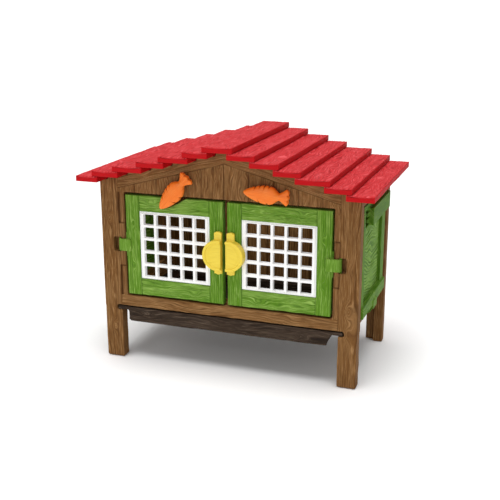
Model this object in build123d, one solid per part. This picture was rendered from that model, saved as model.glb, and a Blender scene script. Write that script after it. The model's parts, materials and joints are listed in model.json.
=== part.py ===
"""A moulded plastic play hutch: a raised wooden-look cabin with two latched doors, a pull-out litter
tray, a fold-down ramp on each side and a lift-off roof of stepped boards.

Millimetres. +X runs to the hutch's right as its front is faced, the front faces -Y, +Z is up, and the
origin is on the ground under the middle of the roof.
"""
from build123d import *
import math
import os

# ---- cabin ----
body_width = 156.0
body_depth = 82.0
leg_width = 11.5
post_depth = 7.0
gable_thickness = 5.0
siding_recess = 0.6
rafter_height = 8.3
foot_rounding = 1.5
sill_bottom = 33.9
sill_height = 6.8
stop_lip_reach = 2.0
stop_lip_thickness = 1.6
back_wall_thickness = 2.4
back_wall_drop = 3.9
back_lip_width = 6.0
back_lip_depth = 6.0
back_wing_length = 7.0
back_wing_recess = 2.5
back_wing_thickness = 2.5
tenon_radius = 1.4
tenon_length = 2.4
back_tenon_length = 1.2
tenon_socket_end = 0.4

# ---- roof ----
eave_overhang = 9.0
gable_overhang = 12.0
ridge_above_opening = 32.0
board_thickness = 3.5
ridge_half_width = 9.0
board_tuck = 3.5
gable_rise = 3.0
right_board_steps = (13.0, 13.3, 12.1, 16.0, 11.8, 11.8)
left_board_steps = (11.5, 14.6, 13.5, 14.9, 13.1, 10.4)
roof_seat_clearance = 0.3
rib_thickness = 2.2
rib_height = 8.0
rib_clearance = 0.5

# ---- doors ----
door_height = 61.0
door_thickness = 4.5
door_recess = 0.4
door_edge_gap = 0.9
door_meeting_gap = 2.2
inner_stile_width = 8.5
outer_stile_width = 8.7
top_rail_height = 9.55
bottom_rail_height = 10.3
pin_radius = 1.6
pin_inset = 1.9
pin_depth = 2.0
pin_to_door = 2.3
pin_length = 26.2
pin_socket = 2.0
jamb_strip_recess = 0.6
jamb_strip_chamfer = 0.5
jamb_slit_width = 0.6
jamb_slit_depth = 1.6
clip_radius = 3.0
clip_height = 7.3
clip_tab_width = 5.7
clip_wrap = 0.8
finger_radius = 2.9
finger_height = 3.4
finger_gap = 0.4
finger_wrap = 0.6
clip_swing_width = 3.9
clip_swing_height = 8.5
clip_swing_depth = 4.6

# ---- window grids ----
grid_cells = 5
grid_frame_side = 2.5
grid_frame_top = 1.5
grid_bar_width = 1.4
grid_front_recess = 0.3
grid_margin = 0.9
grid_margin_step = 0.5
grid_flange = 1.5
grid_flange_thickness = 1.0
grid_rebate = 2.2
seat_clearance = 0.1

# ---- door handles ----
handle_length = 17.5
handle_reach = 10.8
handle_edge_gap = 0.4
handle_thickness = 5.0
handle_rim = 1.6
handle_dish = 0.8
stem_width = 4.6
stem_thickness = 2.0
stem_above = 4.7
stem_below = 3.2
peg_radius = 1.6
peg_clearance = 0.05

# ---- carrot latches ----
latch_spacing = 56.0
latch_shift = 0.7
latch_above_door = 6.4
latch_gap = 0.4
latch_thickness = 5.0
latch_tip_reach = 16.2
latch_half_width = 5.1
latch_widest_at = 3.0
latch_shoulder_share = 0.64
latch_crown_share = 0.86
latch_neck_at = -4.2
latch_neck_half_width = 1.7
latch_tail_at = -10.4
latch_tail_half_width = 4.2
latch_tail_notch_at = -9.2
latch_stem_radius = 2.0
latch_barb_radius = 2.7
latch_barb_thickness = 1.2
latch_barb_gap = 0.3
left_latch_direction = 228.4
right_latch_direction = 176.0
latch_relief = 1.3

# ---- litter tray ----
flange_thickness = 2.2
flange_side_clearance = 0.4
flange_lift = 0.2
slot_reach = 3.5
slot_height = 3.0
tray_side_gap = 6.5
tray_wall = 2.0
tray_depth = 8.5
tray_back_gap = 0.6
basin_back_gap = 3.0
plank_thickness = 2.5
plank_height = 9.5
plank_gap = 4.0
plank_slant = 2.5
plank_slant_height = 7.0

# ---- side frames ----
runner_wall = 2.0
runner_gap = 0.4
runner_floor = 1.5
runner_head = 6.6
bar_radius = 1.6
bar_rise = 3.5
bar_inset = 2.2
end_block_length = 4.0
end_block_drop = 1.5
end_block_rise = 1.0
top_rail_lip_width = 2.7
top_rail_lip_inset = 3.8
side_rail_height = 6.1
side_rail_lip_drop = 10.4

# ---- side ramps ----
ramp_gap = 0.5
ramp_bar_gap = 2.0
ramp_frame_thickness = 3.4
ramp_front_stile = 5.0
ramp_back_stile = 9.5
ramp_bottom_rail = 7.2
ramp_rail_proud = 1.2
ramp_head_height = 14.0
ramp_board_recess = 1.6
ramp_block_proud = 2.6
ramp_block_height = 10.0
ramp_block_setback = 12.5
ramp_block_drop = 3.0
comb_groove_count = 3
comb_groove_height = 1.2
comb_groove_pitch = 3.4
comb_groove_length = 4.5
comb_slot_width = 4.0
comb_slot_height = 9.5
comb_slot_setback = 4.0
comb_floor = 0.8
ramp_clip_width = 10.0
ramp_clip_radius = 2.9
ramp_clip_opening = 1.0
ramp_tab_height = 5.0
ramp_tab_proud = 1.9

# ---- fits ----
running_clearance = 0.08
swing_clearance = 0.4

# ---- places worked out from the sizes ----
front = -body_depth / 2
back = body_depth / 2
side = body_width / 2
post_inner = side - leg_width
post_back = front + post_depth
sill_top = sill_bottom + sill_height
opening_top = sill_top + door_height + 2 * door_edge_gap
ridge_height = opening_top + ridge_above_opening
back_wall_bottom = sill_bottom - back_wall_drop
bar_height = sill_bottom + bar_rise
door_bottom = sill_top + door_edge_gap
door_top = door_bottom + door_height
door_front = front + door_recess
door_back = door_front + door_thickness
pin_x = post_inner - pin_inset
pin_y = front + pin_depth
door_outer = pin_x - pin_to_door
door_inner = door_meeting_gap / 2
window_x = (door_inner + inner_stile_width, door_outer - outer_stile_width)
window_z = (door_bottom + bottom_rail_height, door_top - top_rail_height)
hinge_z = (door_bottom + door_top) / 2
right_latch_x = latch_shift + latch_spacing / 2
left_latch_x = latch_shift - latch_spacing / 2
latch_z = door_top + latch_above_door
latch_back = front - latch_gap
slot_top = sill_bottom
slot_bottom = slot_top - slot_height
slot_side = post_inner + slot_reach
bar_x = side - bar_inset
roof_half_width = side + eave_overhang
roof_end = back + gable_overhang
roof_steps = len(right_board_steps)
roof_slope = board_thickness * roof_steps / (roof_half_width - ridge_half_width)
back_wall_inner = back - back_wall_thickness
back_lip_front = back - back_lip_depth
back_wing_front = back_lip_front - back_wing_length
gable_back = front + gable_thickness
runner_side = slot_side + runner_wall
runner_z = (slot_bottom - runner_floor, slot_top + runner_head)


def block(x, y, z):
    """A box between three pairs of limits."""
    size = [abs(pair[1] - pair[0]) for pair in (x, y, z)]
    middle = [(pair[0] + pair[1]) / 2 for pair in (x, y, z)]
    return Pos(*middle) * Box(*size)


def upright(points, y_start, y_end):
    """A plate whose outline lies in X and Z, between two depths."""
    outline = Polyline(*[(x, y_start, z) for x, z in points], close=True)
    return extrude(make_face(outline), amount=y_end - y_start, dir=(0, 1, 0))


def rod_z(x, y, z, radius):
    """A round bar that stands between two heights."""
    return Pos(x, y, (z[0] + z[1]) / 2) * Cylinder(radius, abs(z[1] - z[0]))


def rod_y(x, y, z, radius):
    """A round bar that runs between two depths."""
    turned = Rot(90, 0, 0) * Cylinder(radius, abs(y[1] - y[0]))
    return Pos(x, (y[0] + y[1]) / 2, z) * turned


def other_side(shape):
    """The same piece on the hutch's other side."""
    return mirror(shape, about=Plane.YZ)


def both_sides(shape):
    """A shape together with its mirror image."""
    return shape + other_side(shape)


# ---- the roof's boards ----
def board_edges(steps):
    """The inner end, outer edge and top of each board on one slope, from the ridge down."""
    scale = (roof_half_width - ridge_half_width) / sum(steps)
    edges = []
    seen_from = ridge_half_width
    for number, step in enumerate(steps, start=1):
        outer = seen_from + step * scale
        edges.append((seen_from - board_tuck, outer, ridge_height - number * board_thickness))
        seen_from = outer
    return edges


right_boards = board_edges(right_board_steps)
left_boards = board_edges(left_board_steps)
roof_line_apex = min(
    top - board_thickness + roof_slope * inner
    for inner, outer, top in right_boards[1:] + left_boards[1:]
) - roof_seat_clearance + gable_rise
gable_top = ridge_height - board_thickness - roof_seat_clearance


def roof_line(x):
    """The height of the gables' top edge at a distance from the middle."""
    return min(roof_line_apex - roof_slope * abs(x), gable_top)


gable_flat = (roof_line_apex - gable_top) / roof_slope
side_top = roof_line(side)
rail_top = right_boards[-1][2] - board_thickness - roof_seat_clearance
rail_bottom = rail_top - side_rail_height
rail_lip_outer = side - top_rail_lip_inset
rail_lip_bottom = rail_top - side_rail_lip_drop


def roof_board(inner, outer, top):
    """One board of the right slope."""
    return block((inner, outer), (-roof_end, roof_end), (top - board_thickness, top))


def ridge_board():
    half = ridge_half_width
    return block((-half, half), (-roof_end, roof_end), (ridge_height - board_thickness, ridge_height))


def roof_room():
    """What a gable gives up so that the boards on both slopes can sit down over it."""
    spare = roof_seat_clearance
    room = Part()
    for boards, turn in ((right_boards, Rot(0, 0, 0)), (left_boards, Rot(0, 0, 180))):
        for inner, outer, top in boards:
            low = top - board_thickness - spare
            room += turn * block((inner - spare, outer + spare), (-roof_end, roof_end), (low, ridge_height))
    return room


def rib_steps(boards, limit):
    """The stepped top edge under the ridge and one slope's boards, from the middle out to a limit."""
    points = []
    seen_from = 0.0
    for inner, outer, top in [(0, ridge_half_width, ridge_height)] + boards:
        height = top - board_thickness
        reach = min(outer, limit)
        if seen_from < limit:
            points += [(seen_from, height), (reach, height)]
        seen_from = outer - board_tuck
        points[-1] = (min(seen_from, limit), height)
    return points


def roof_rib(y_start):
    """A stepped bearer that carries the boards and drops inside a gable to keep the roof in place."""
    limit = post_inner - rib_clearance
    right = rib_steps(right_boards, limit)
    left = [(-x, z) for x, z in rib_steps(left_boards, limit)]
    low_end = roof_line(limit) - rib_height
    low_middle = gable_top - rib_height
    bottom = [(limit, low_end), (gable_flat, low_middle), (-gable_flat, low_middle), (-limit, low_end)]
    outline = right + bottom + left[::-1]
    return upright(outline[:-1], y_start, y_start + rib_thickness)


# ---- the cabin's frames ----
def gable_outline(x_limit, z_bottom, drop=0.0):
    """A gable's outline down to a level bottom edge, its slopes lowered by a drop."""
    corner = roof_line_apex - drop - roof_slope * x_limit
    flat = gable_top - drop
    return [
        (-x_limit, z_bottom),
        (x_limit, z_bottom),
        (x_limit, corner),
        (gable_flat, flat),
        (-gable_flat, flat),
        (-x_limit, corner),
    ]


def leg(y_start, y_end):
    """The right leg and post, as one upright with its foot's edges rounded."""
    shape = block((post_inner, side), (y_start, y_end), (0, side_top))
    return fillet(shape.edges().group_by(Axis.Z)[0], foot_rounding)


def top_tenon(y, radius):
    """The round tenon at an end of the right top rail, between two depths."""
    return rod_y(rail_lip_outer - top_rail_lip_width / 2, y, rail_bottom, radius)


def sill_tenon(y, radius):
    """The round tenon at an end of the right tray runner, between two depths."""
    x = runner_side - tenon_radius - tenon_socket_end
    return rod_y(x, y, slot_top + tenon_radius + tenon_socket_end, radius)


def jamb(z):
    """One stretch of the strip beside the right door, its corner eased so that the door swings past."""
    inner = pin_x - pin_radius
    face = front + jamb_strip_recess
    ease = jamb_strip_chamfer
    corners = [
        (inner, face + ease),
        (inner + ease, face),
        (post_inner, face),
        (post_inner, gable_back),
        (inner, gable_back),
    ]
    outline = Polyline(*[(x, y, z[0]) for x, y in corners], close=True)
    return extrude(make_face(outline), amount=z[1] - z[0], dir=(0, 0, 1))


pin_z = (hinge_z - pin_length / 2, hinge_z + pin_length / 2)


def hinge_side():
    """The right door's hinge pin with the jamb strips above and below it."""
    strips = jamb((sill_top, pin_z[0])) + jamb((pin_z[1], opening_top))
    return strips + rod_z(pin_x, pin_y, (pin_z[0] - pin_socket, pin_z[1] + pin_socket), pin_radius)


def hinge_room():
    """What the right post gives up so that the door's clip can turn round its pin."""
    radius = clip_radius + swing_clearance
    reach = clip_height / 2 + finger_gap + finger_height + swing_clearance
    finger_z = (hinge_z - reach, hinge_z + reach)
    turning = rod_z(pin_x, pin_y, finger_z, radius)
    beside_y = (pin_y - radius, pin_y - finger_wrap - swing_clearance)
    turning -= block((pin_x, pin_x + radius), beside_y, finger_z)
    swing_x = (pin_x, post_inner + clip_swing_width)
    swing_z = (hinge_z - clip_swing_height / 2, hinge_z + clip_swing_height / 2)
    swing = block(swing_x, (front - 1, front + clip_swing_depth), swing_z)
    return turning + rod_z(pin_x, pin_y, swing_z, radius) + swing


def jamb_slits():
    """Two narrow grooves between the left jamb strips and the left post."""
    x = (-post_inner, -post_inner + jamb_slit_width)
    y = (front, front + jamb_strip_recess + jamb_slit_depth)
    return block(x, y, (sill_top, pin_z[0])) + block(x, y, (pin_z[1], opening_top))


def front_frame():
    """Front legs, sill, gable, door stops, hinge pins and the tray's slots in one moulding."""
    between = (-post_inner, post_inner)
    frame = both_sides(leg(front, post_back))
    frame += upright(gable_outline(side, opening_top), front, gable_back)
    frame += block(between, (front, post_back), (sill_bottom, sill_top))
    frame -= upright(gable_outline(post_inner, opening_top, rafter_height), front, front + siding_recess)
    lip_y = (post_back - stop_lip_thickness, post_back)
    overlap = door_edge_gap + stop_lip_reach
    frame += block(between, lip_y, (sill_top, sill_top + overlap))
    frame += block(between, lip_y, (opening_top - overlap, opening_top))
    frame += block(between, (gable_back, post_back), (opening_top, opening_top + stop_lip_reach))
    frame -= both_sides(hinge_room())
    frame += both_sides(hinge_side())
    frame -= jamb_slits()
    for x in (left_latch_x, right_latch_x):
        frame -= rod_y(x, (front, gable_back), latch_z, latch_stem_radius + running_clearance)
    frame -= both_sides(block((post_inner, slot_side), (front, post_back), (slot_bottom, slot_top)))
    for tenon in (top_tenon, sill_tenon):
        socket_y = (post_back - tenon_length - tenon_socket_end, post_back)
        frame -= both_sides(tenon(socket_y, tenon_radius + peg_clearance))
    return frame - roof_room()


def back_leg():
    """The right back leg, an angle in section, with the wing that closes the side behind the ramp."""
    plate = block((post_inner, side), (back_wall_inner, back), (0, side_top))
    lip = block((side - back_lip_width, side), (back_lip_front, back), (0, side_top))
    shape = plate + lip
    wing_outer = side - back_wing_recess
    wing_x = (wing_outer - back_wing_thickness, wing_outer)
    return shape + block(wing_x, (back_wing_front, back_wall_inner), (sill_top, rail_lip_bottom))


def back_frame():
    """Back legs, wall and gable, with a lip and a set-back wing along each outer edge."""
    frame = both_sides(back_leg())
    frame += upright(gable_outline(side, back_wall_bottom), back_wall_inner, back)
    top_socket_y = (back_lip_front, back_lip_front + tenon_length + tenon_socket_end)
    sill_socket_y = (back_wall_inner, back_wall_inner + back_tenon_length + tenon_socket_end)
    frame -= both_sides(top_tenon(top_socket_y, tenon_radius + peg_clearance))
    frame -= both_sides(sill_tenon(sill_socket_y, tenon_radius + peg_clearance))
    return frame - roof_room()


def side_sill():
    """The tray's right runner, with the round bar that the ramp turns on held out from it."""
    length = (post_back, back_wall_inner)
    shape = block((post_inner + runner_gap, runner_side), length, runner_z)
    shape -= block((post_inner + runner_gap, slot_side), length, (slot_bottom, slot_top))
    shape += rod_y(bar_x, (post_back, back_wing_front + end_block_length), bar_height, bar_radius)
    block_z = (bar_height - end_block_drop, bar_height + end_block_rise)
    for start in (post_back, back_wing_front):
        shape += block((slot_side, bar_x), (start, start + end_block_length), block_z)
    shape += sill_tenon((post_back - tenon_length, post_back), tenon_radius)
    return shape + sill_tenon((back_wall_inner, back_wall_inner + back_tenon_length), tenon_radius)


def side_top_rail():
    """The right wall plate under the eave, with a lip that the shut ramp leans on."""
    length = (post_back, back_lip_front)
    inner = rail_lip_outer - top_rail_lip_width
    shape = block((inner, rail_lip_outer), length, (rail_lip_bottom, rail_top))
    shape += block((inner, side), length, (rail_bottom, rail_top))
    shape += top_tenon((post_back - tenon_length, post_back), tenon_radius)
    return shape + top_tenon((back_lip_front, back_lip_front + tenon_length), tenon_radius)


# ---- the doors, modelled on the right and mirrored ----
def half_ring(z, outer_radius, y_limits):
    """Part of a sleeve round the right hinge pin, kept between two depths."""
    sleeve = rod_z(pin_x, pin_y, z, outer_radius)
    keep = block((pin_x - outer_radius, pin_x + outer_radius), y_limits, z)
    return sleeve & keep


def door_frame():
    """Stiles and rails round the window, with a clip and two fingers that hold the hinge pin."""
    frame = block((door_inner, door_outer), (door_front, door_back), (door_bottom, door_top))
    frame -= block(window_x, (door_front, door_back), window_z)
    rebate_x = (window_x[0] - grid_flange, window_x[1] + grid_flange)
    rebate_z = (window_z[0] - grid_flange, window_z[1] + grid_flange)
    frame -= block(rebate_x, (door_back - grid_rebate, door_back), rebate_z)
    clip_z = (hinge_z - clip_height / 2, hinge_z + clip_height / 2)
    frame += half_ring(clip_z, clip_radius, (pin_y - clip_radius, pin_y + clip_wrap))
    tab_x = (pin_x - clip_tab_width, pin_x)
    frame += block(tab_x, (pin_y - clip_radius, door_front), clip_z)
    for way in (-1, 1):
        near = hinge_z + way * (clip_height / 2 + finger_gap)
        finger_z = (min(near, near + way * finger_height), max(near, near + way * finger_height))
        frame += half_ring(finger_z, finger_radius, (pin_y - finger_wrap, pin_y + finger_radius))
    frame -= rod_z(pin_x, pin_y, pin_z, pin_radius + running_clearance)
    peg_room = rod_y(handle_peg_x, (door_front, door_back), hinge_z, peg_radius + peg_clearance)
    return frame - peg_room


def window_grid():
    """A white egg-crate grid in the door's window, its margin stepped and its flange let into the frame."""
    x = (window_x[0] + seat_clearance, window_x[1] - seat_clearance)
    z = (window_z[0] + seat_clearance, window_z[1] - seat_clearance)
    face = door_front + grid_front_recess
    seat = door_back - grid_rebate
    behind = seat + grid_flange_thickness
    grid = block(x, (face + grid_margin_step, behind), z)
    proud_x = (x[0] + grid_margin, x[1] - grid_margin)
    proud_z = (z[0] + grid_margin, z[1] - grid_margin)
    grid += block(proud_x, (face, behind), proud_z)
    flange_x = (x[0] - grid_flange, x[1] + grid_flange)
    flange_z = (z[0] - grid_flange, z[1] + grid_flange)
    grid += block(flange_x, (seat, behind), flange_z)
    inner_x = (x[0] + grid_frame_side, x[1] - grid_frame_side)
    inner_z = (z[0] + grid_frame_top, z[1] - grid_frame_top)
    pitch_x = (inner_x[1] - inner_x[0] + grid_bar_width) / grid_cells
    pitch_z = (inner_z[1] - inner_z[0] + grid_bar_width) / grid_cells
    for column in range(grid_cells):
        left = inner_x[0] + column * pitch_x
        for row in range(grid_cells):
            low = inner_z[0] + row * pitch_z
            cell_x = (left, left + pitch_x - grid_bar_width)
            cell_z = (low, low + pitch_z - grid_bar_width)
            grid -= block(cell_x, (face, behind), cell_z)
    return grid


handle_x = door_inner + handle_edge_gap
handle_peg_x = handle_x + stem_width / 2


def half_disc(inset, y_start, y_end):
    """The handle's D outline, its round side drawn in by an inset, between two depths."""
    half = handle_length / 2 - inset
    top = (handle_x, y_start, hinge_z + half)
    bottom = (handle_x, y_start, hinge_z - half)
    apex = (handle_x + handle_reach - inset, y_start, hinge_z)
    outline = ThreePointArc(top, apex, bottom) + Line(bottom, top)
    return extrude(make_face(outline), amount=y_end - y_start, dir=(0, 1, 0))


def door_handle():
    """A dished half-round grip on an upright stem, with a peg through the door's stile."""
    face = door_front - handle_thickness
    handle = half_disc(0, face, door_front)
    handle -= half_disc(handle_rim, face, face + handle_dish)
    low = hinge_z - handle_length / 2 - stem_below
    high = hinge_z + handle_length / 2 + stem_above
    stem_y = (door_front - stem_thickness, door_front)
    handle += block((handle_x, handle_x + stem_width), stem_y, (low, high))
    return handle + rod_y(handle_peg_x, (door_front, door_back), hinge_z, peg_radius)


# ---- the carrot latches ----
def carrot_face(x, direction, y):
    """A carrot's outline about its pivot, its tip pointing in a direction in degrees from +X."""
    turn = math.radians(direction)

    def place(along, across):
        return (
            x + along * math.cos(turn) - across * math.sin(turn),
            y,
            latch_z + along * math.sin(turn) + across * math.cos(turn),
        )

    shoulder = (latch_tip_reach + latch_widest_at) / 2
    crown = (latch_widest_at + latch_neck_at) / 2
    tip = place(latch_tip_reach, 0)
    notch = place(latch_tail_notch_at, 0)
    edges = Curve()
    for way in (-1, 1):
        widest = place(latch_widest_at, way * latch_half_width)
        neck = place(latch_neck_at, way * latch_neck_half_width)
        tail = place(latch_tail_at, way * latch_tail_half_width)
        flank = place(shoulder, way * latch_half_width * latch_shoulder_share)
        cheek = place(crown, way * latch_half_width * latch_crown_share)
        edges += ThreePointArc(tip, flank, widest)
        edges += ThreePointArc(widest, cheek, neck)
        edges += Line(neck, tail)
        edges += Line(tail, notch)
    return make_face(edges)


def carrot_latch(x, direction):
    """A carrot-shaped turn button, with a stem through the gable and a barb behind it."""
    face = latch_back - latch_thickness
    carrot = extrude(carrot_face(x, direction, face), amount=latch_thickness, dir=(0, 1, 0))
    barb_start = gable_back + latch_barb_gap
    barb_end = barb_start + latch_barb_thickness
    stem = rod_y(x, (latch_back, barb_end), latch_z, latch_stem_radius)
    return carrot + stem + rod_y(x, (barb_start, barb_end), latch_z, latch_barb_radius)


def latch_relief_cut():
    """The notch in the left door's top rail that the latch's tip stands in front of."""
    outline = offset(carrot_face(left_latch_x, left_latch_direction, door_front), amount=latch_relief)
    return extrude(outline, amount=door_thickness, dir=(0, 1, 0))


# ---- the litter tray ----
def litter_tray():
    """A shallow tray on side flanges, with a plank for a front."""
    flange_bottom = slot_bottom + flange_lift
    flange_top = flange_bottom + flange_thickness
    flange_side = slot_side - flange_side_clearance
    tray_back = back_wall_inner - tray_back_gap
    basin_side = post_inner - tray_side_gap
    basin_y = (front + plank_thickness, tray_back - basin_back_gap)
    basin_bottom = flange_top - tray_depth
    tray = block((-flange_side, flange_side), (front, tray_back), (flange_bottom, flange_top))
    tray += block((-basin_side, basin_side), basin_y, (basin_bottom, flange_bottom))
    hollow_x = (-basin_side + tray_wall, basin_side - tray_wall)
    hollow_y = (basin_y[0] + tray_wall, basin_y[1] - tray_wall)
    tray -= block(hollow_x, hollow_y, (basin_bottom + tray_wall, flange_top))
    plank_side = post_inner - plank_gap
    plank_bottom = flange_top - plank_height
    slant_top = plank_bottom + plank_slant_height
    plank = [
        (-plank_side, flange_top),
        (-plank_side, plank_bottom + plank_slant / 2),
        (-plank_side + plank_slant / 2, plank_bottom),
        (plank_side - plank_slant, plank_bottom),
        (plank_side, slant_top),
        (plank_side, flange_top),
    ]
    return tray + upright(plank, front, front + plank_thickness)


# ---- the side ramps, modelled on the right and mirrored ----
ramp_y = (post_back + ramp_gap, back_wing_front - ramp_gap)
ramp_z = (bar_height + ramp_bar_gap, rail_bottom - ramp_gap)
ramp_inner = side - ramp_frame_thickness
board_y = (ramp_y[0] + ramp_front_stile, ramp_y[1] - ramp_back_stile)
board_z = (ramp_z[0] + ramp_bottom_rail, ramp_z[1] - ramp_head_height)


def ramp_clip():
    """The clip at the middle of the ramp's bottom edge, hooked round the bar from outside."""
    middle = (ramp_y[0] + ramp_y[1]) / 2
    y = (middle - ramp_clip_width / 2, middle + ramp_clip_width / 2)
    sleeve = rod_y(bar_x, y, bar_height, ramp_clip_radius)
    outer = side + ramp_tab_proud
    sleeve &= block((bar_x - ramp_clip_opening, outer), y, (bar_height - ramp_clip_radius, ramp_z[0]))
    sleeve += block((bar_x + bar_radius, outer), y, (bar_height, bar_height + ramp_tab_height))
    neck_z = (bar_height + bar_radius, ramp_z[0])
    sleeve += block((bar_x - ramp_clip_opening, bar_x + bar_radius), y, neck_z)
    return sleeve - rod_y(bar_x, y, bar_height, bar_radius + running_clearance)


def ramp_frame():
    """The ramp's stiles and rails, with a proud bottom rail and a proud head block with a comb."""
    frame = block((ramp_inner, side), ramp_y, ramp_z)
    frame -= block((ramp_inner, side), board_y, board_z)
    frame += block((side, side + ramp_rail_proud), ramp_y, (ramp_z[0], board_z[0]))
    head_top = ramp_z[1] - ramp_block_drop
    head_y = (ramp_y[0] + ramp_block_setback, ramp_y[1])
    head = side + ramp_block_proud
    frame += block((side, head), head_y, (head_top - ramp_block_height, head_top))
    comb_x = (ramp_inner + comb_floor, head)
    slot_y = ramp_y[0] + comb_slot_setback
    frame -= block(comb_x, (slot_y, slot_y + comb_slot_width), (head_top - comb_slot_height, head_top))
    for number in range(comb_groove_count):
        middle = head_top - (number + 0.5) * comb_groove_pitch
        groove_z = (middle - comb_groove_height / 2, middle + comb_groove_height / 2)
        groove_y = (slot_y, slot_y + comb_slot_width + comb_groove_length)
        frame -= block(comb_x, groove_y, groove_z)
    return frame + ramp_clip()


def ramp_board():
    """The recessed board that fills the ramp's frame."""
    return block((ramp_inner, side - ramp_board_recess), board_y, board_z)


# ---- every piece, by name ----
nodes = {
    "front_frame": front_frame(),
    "back_frame": back_frame(),
    "right_side_sill": side_sill(),
    "left_side_sill": other_side(side_sill()),
    "right_top_rail": side_top_rail(),
    "left_top_rail": other_side(side_top_rail()),
    "right_door_frame": door_frame(),
    "left_door_frame": other_side(door_frame()) - latch_relief_cut(),
    "right_door_grid": window_grid(),
    "left_door_grid": other_side(window_grid()),
    "right_door_handle": door_handle(),
    "left_door_handle": other_side(door_handle()),
    "right_carrot_latch": carrot_latch(right_latch_x, right_latch_direction),
    "left_carrot_latch": carrot_latch(left_latch_x, left_latch_direction),
    "litter_tray": litter_tray(),
    "right_ramp_frame": ramp_frame(),
    "left_ramp_frame": other_side(ramp_frame()),
    "right_ramp_board": ramp_board(),
    "left_ramp_board": other_side(ramp_board()),
    "ridge_board": ridge_board(),
    "front_roof_rib": roof_rib(gable_back + rib_clearance),
    "back_roof_rib": roof_rib(back_wall_inner - rib_clearance - rib_thickness),
}
for number, edges in enumerate(right_boards, start=1):
    nodes[f"right_roof_board_{number}"] = roof_board(*edges)
for number, edges in enumerate(left_boards, start=1):
    nodes[f"left_roof_board_{number}"] = other_side(roof_board(*edges))

os.makedirs("parts", exist_ok=True)
for name, shape in nodes.items():
    export_step(shape, f"parts/{name}.step")
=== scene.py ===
"""The looks of a moulded plastic toy hutch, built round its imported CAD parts.

Blender works in metres. Shapes are worked out in millimetres, as (points, 3) arrays, and scaled at the end.
+X runs to the hutch's right as its front is faced, the front faces -Y, and +Z is up.
"""

import json
import math

import bpy
import numpy as np
from mathutils import Matrix, Vector

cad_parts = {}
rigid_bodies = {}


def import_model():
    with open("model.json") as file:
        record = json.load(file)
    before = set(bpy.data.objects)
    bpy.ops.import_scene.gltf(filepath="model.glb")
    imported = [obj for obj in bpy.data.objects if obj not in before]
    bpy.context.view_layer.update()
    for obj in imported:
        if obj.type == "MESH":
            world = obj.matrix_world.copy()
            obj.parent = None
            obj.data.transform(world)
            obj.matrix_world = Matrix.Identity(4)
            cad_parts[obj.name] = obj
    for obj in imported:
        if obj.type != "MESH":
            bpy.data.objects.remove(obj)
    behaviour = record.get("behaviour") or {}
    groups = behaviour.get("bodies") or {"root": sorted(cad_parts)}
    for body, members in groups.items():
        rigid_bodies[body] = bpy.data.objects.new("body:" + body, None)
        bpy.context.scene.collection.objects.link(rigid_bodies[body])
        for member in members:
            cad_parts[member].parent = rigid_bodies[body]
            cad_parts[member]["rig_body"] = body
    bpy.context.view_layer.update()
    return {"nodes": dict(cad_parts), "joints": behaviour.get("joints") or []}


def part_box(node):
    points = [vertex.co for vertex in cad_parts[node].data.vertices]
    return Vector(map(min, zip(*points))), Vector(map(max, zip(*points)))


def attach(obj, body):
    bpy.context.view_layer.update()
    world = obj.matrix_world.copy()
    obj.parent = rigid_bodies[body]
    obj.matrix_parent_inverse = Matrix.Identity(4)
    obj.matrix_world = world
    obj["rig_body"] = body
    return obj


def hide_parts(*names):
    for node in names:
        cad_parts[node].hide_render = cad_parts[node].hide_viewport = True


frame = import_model()

MM = 0.001


# ---- places, in millimetres, from the CAD nodes ----
def box(node):
    """A node's lowest and highest corners."""
    low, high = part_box(node)
    return np.array(low) / MM, np.array(high) / MM


def pivot_of(joint):
    """A point on the line that a joint turns about."""
    found = next(known for known in frame["joints"] if known["name"] == joint)
    return np.array(found["pos_m"]) / MM


cabin_low, cabin_high = box("front_frame")
front = cabin_low[1]
side = cabin_high[0]
door_low, door_high = box("right_door_frame")
grid_low, grid_high = box("right_door_grid")
handle_low, handle_high = box("right_door_handle")
tray_low = box("litter_tray")[0]
ramp_low, ramp_high = box("right_ramp_frame")
panel_low, panel_high = box("right_ramp_board")

# Sizes that the nodes' boxes don't give.
LEG_WIDTH = 11.5
SILL_HEIGHT = 6.8
RAFTER_HEIGHT = 8.3
GABLE_SLOPE = 0.2692
GABLE_APEX = 132.3
DOOR_THICKNESS = 4.5
OUTER_STILE_END = 62.3
SIDING_PITCH = 14.0
EDGE_GAP = 0.9
GRID_FLANGE = 1.6
PIN_HALF = 13.1
PIN_X = 64.6

post_inner = side - LEG_WIDTH
sill_top = door_low[2] - EDGE_GAP
sill_bottom = sill_top - SILL_HEIGHT
opening_top = door_high[2] + EDGE_GAP
window_x = (grid_low[0] + GRID_FLANGE, grid_high[0] - GRID_FLANGE)
door_face = door_high[1] - DOOR_THICKNESS
hinge_z = (door_low[2] + door_high[2]) / 2


def roof_line(x):
    """The height of the gables' sloped edge."""
    return GABLE_APEX - GABLE_SLOPE * np.abs(x)


# ---- noise and wood grain ----
def hashed(column, row, seed):
    """A repeatable number from -1 to 1 for each pair of whole numbers."""
    mixed = (column.astype(np.int64) * 374761393 + row.astype(np.int64) * 668265263 + seed * 974634777)
    mixed &= 0xFFFFFFFF
    mixed = ((mixed ^ (mixed >> 13)) * 1274126177) & 0xFFFFFFFF
    return ((mixed ^ (mixed >> 16)) & 0xFFFF) / 32767.5 - 1


def noise(u, v, seed):
    """Smooth noise from -1 to 1 over a plane."""
    column, row = np.floor(u), np.floor(v)
    fu, fv = u - column, v - row
    fu, fv = fu * fu * (3 - 2 * fu), fv * fv * (3 - 2 * fv)
    low = hashed(column, row, seed) * (1 - fu) + hashed(column + 1, row, seed) * fu
    high = hashed(column, row + 1, seed) * (1 - fu) + hashed(column + 1, row + 1, seed) * fu
    return low * (1 - fv) + high * fv


def bump(value, width):
    """1 at zero, falling smoothly to nothing a few widths away."""
    return np.exp(-((value / width) ** 2))


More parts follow.
